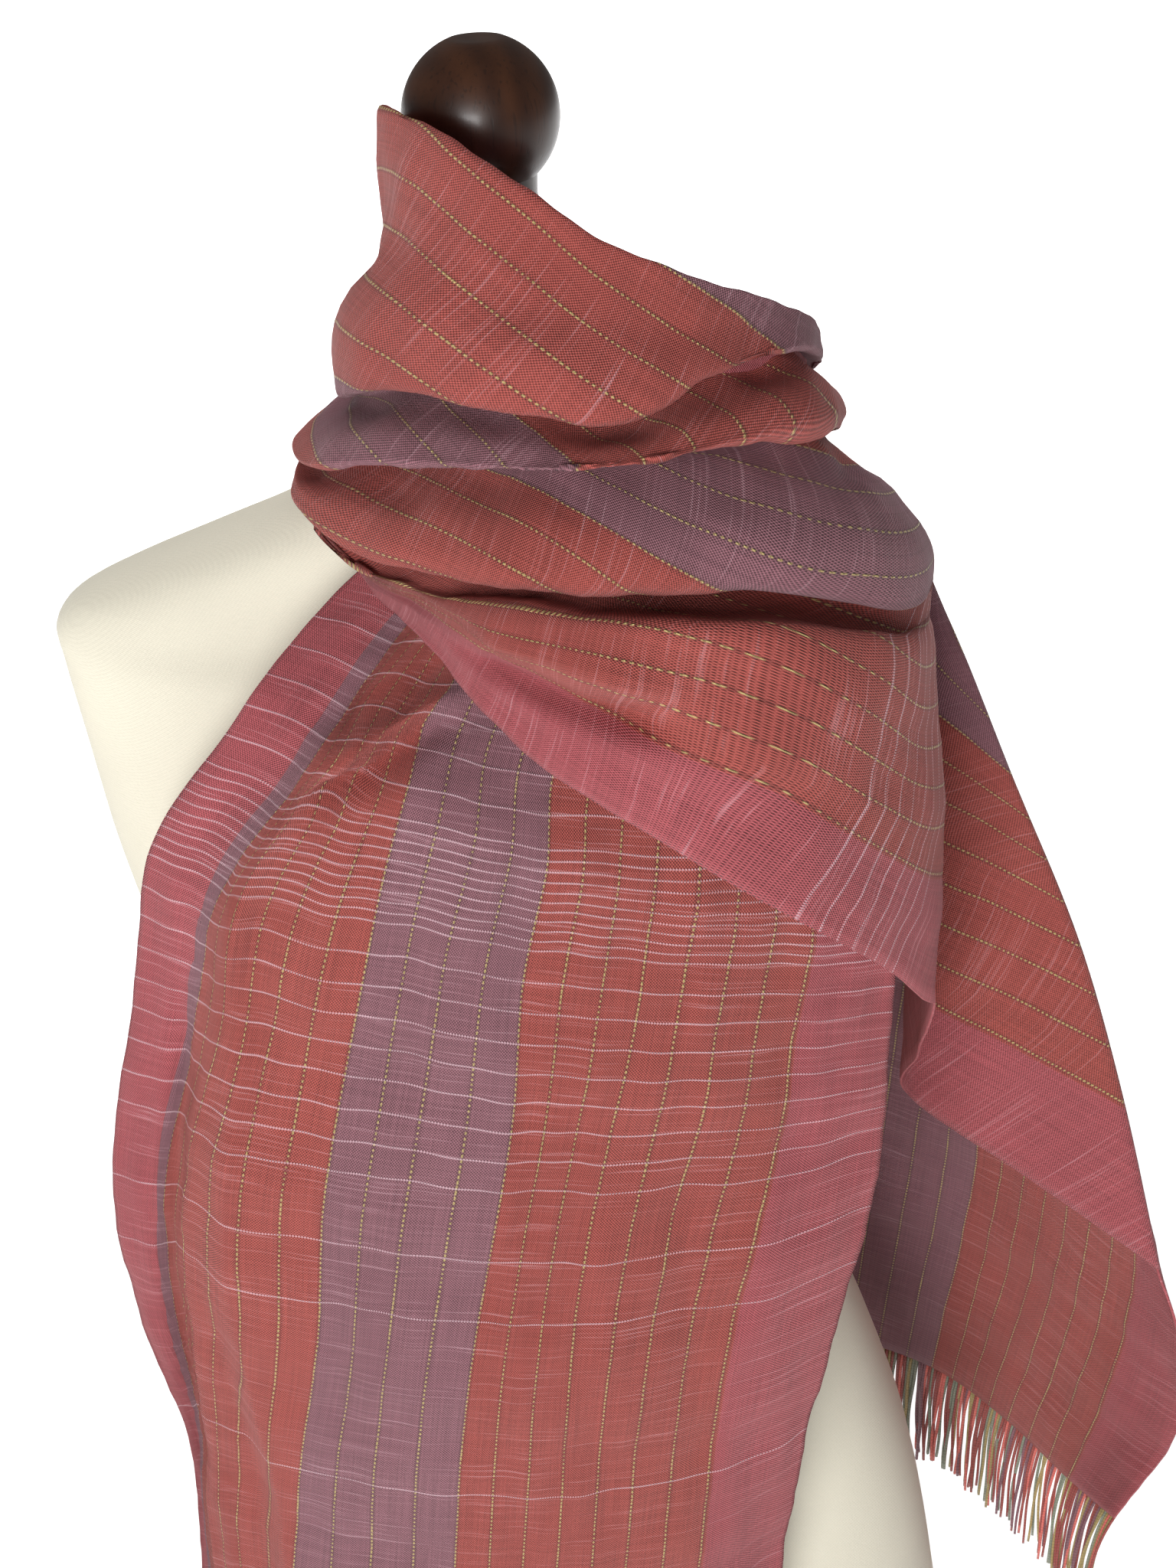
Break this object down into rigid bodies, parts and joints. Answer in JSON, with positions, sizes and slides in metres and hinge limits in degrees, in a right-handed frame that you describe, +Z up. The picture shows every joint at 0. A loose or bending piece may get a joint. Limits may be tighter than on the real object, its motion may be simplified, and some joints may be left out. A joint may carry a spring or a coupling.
{
  "type": "silk scarf on a limbless dress form",
  "caption": "Long fringed striped scarf wound once round the neck of a limbless dress form, one end in front and one behind the shoulder.",
  "frame": {"origin": "middle of the underside of the stand's base, on the surface it stands on", "axes": "+Z up, -Y to the front of the dress form, +X to the form's left arm side, where the scarf falls over the shoulder"},
  "size_m": [0.5376, 0.3425, 1.027],
  "materials": {
    "scarf_silk": "hand-woven plain weave, red with plum stripes, pink-red borders and thin gold and pink lines, soft low sheen",
    "fringe": "loose warp yarns in red, coral, olive gold and grey green",
    "jersey": "cream stretch jersey, matt, drawn smooth over the form",
    "stained_wood": "dark red-brown stained turned wood under glossy varnish"
  },
  "bodies": {
    "root": {"front_tail": "scarf_silk", "nape": "scarf_silk", "front_wrap": "scarf_silk", "rear_panel": "scarf_silk", "rear_tail": "scarf_silk", "fringe_front": "fringe", "fringe_rear": "fringe", "form": "jersey", "neck_cap": "stained_wood", "finial": "stained_wood", "pole": "stained_wood", "base": "stained_wood"}
  },
  "joints": []
}
